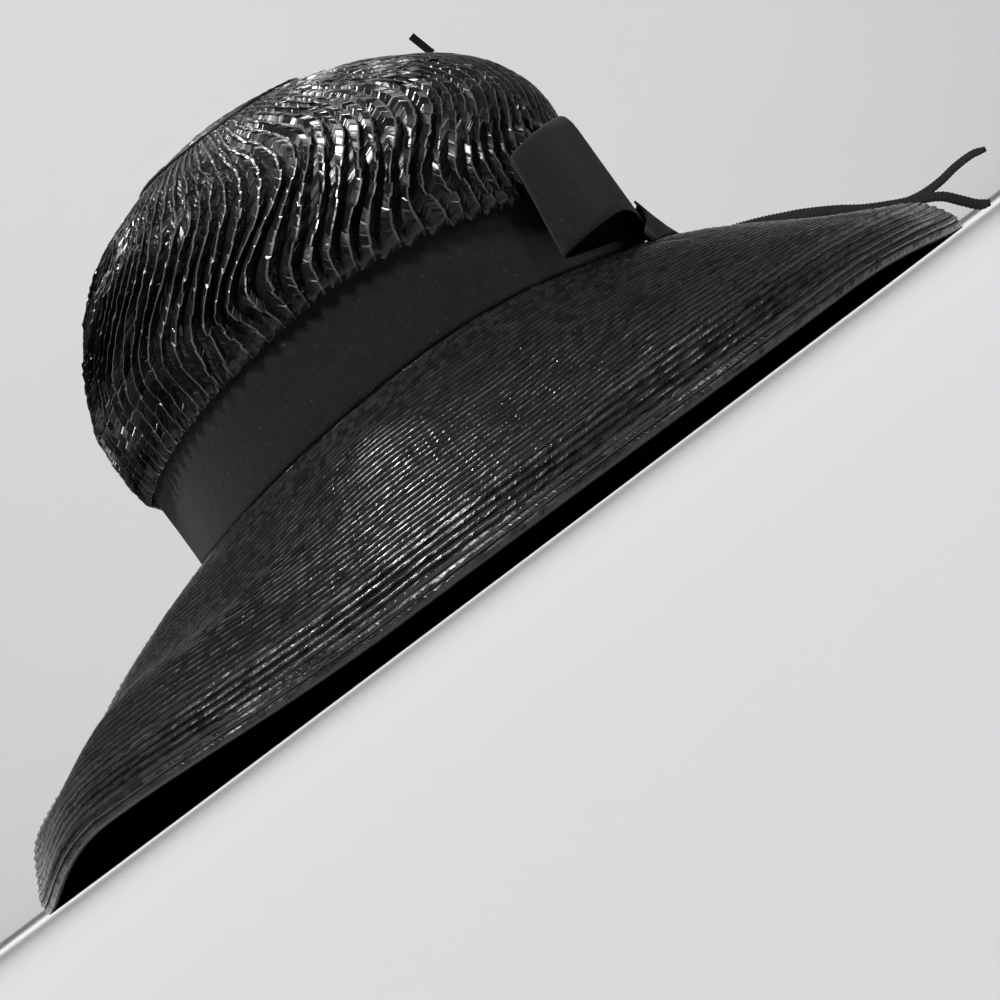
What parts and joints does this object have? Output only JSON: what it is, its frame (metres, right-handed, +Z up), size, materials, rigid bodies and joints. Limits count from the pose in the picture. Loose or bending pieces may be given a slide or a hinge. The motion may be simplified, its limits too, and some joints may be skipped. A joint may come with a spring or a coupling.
{
  "type": "wide-brim straw hat with ribbon band",
  "caption": "Black wide-brim straw hat: gathered plaited crown, sewn brim with bound edge, wide ribbon band, flat side bow and narrow ribbon ties.",
  "frame": {"origin": "centre of the rectangle round the brim, on the surface that the hat stands on", "axes": "+Z up out of the crown, front of the hat towards -Y, the wearer's left, with the bow, towards +X"},
  "size_m": [0.3773, 0.3558, 0.1655],
  "materials": {
    "plait": "glossy black plaited straw braid, gathered",
    "straw": "satin black straw braid in sewn rows",
    "binding": "matte black folded ribbon",
    "grosgrain": "matte black ribbed ribbon",
    "tie": "matte black narrow ribbon with picot edges"
  },
  "bodies": {
    "root": {"crown": "plait", "crown_tip": "plait", "braid_end": "plait", "brim": "straw", "edge_binding": "binding", "hat_band": "grosgrain", "bow_loop_front": "grosgrain", "bow_loop_back": "grosgrain", "bow_knot": "grosgrain", "bow_tail": "grosgrain", "tie_long": "tie", "tie_short": "tie"}
  },
  "joints": []
}
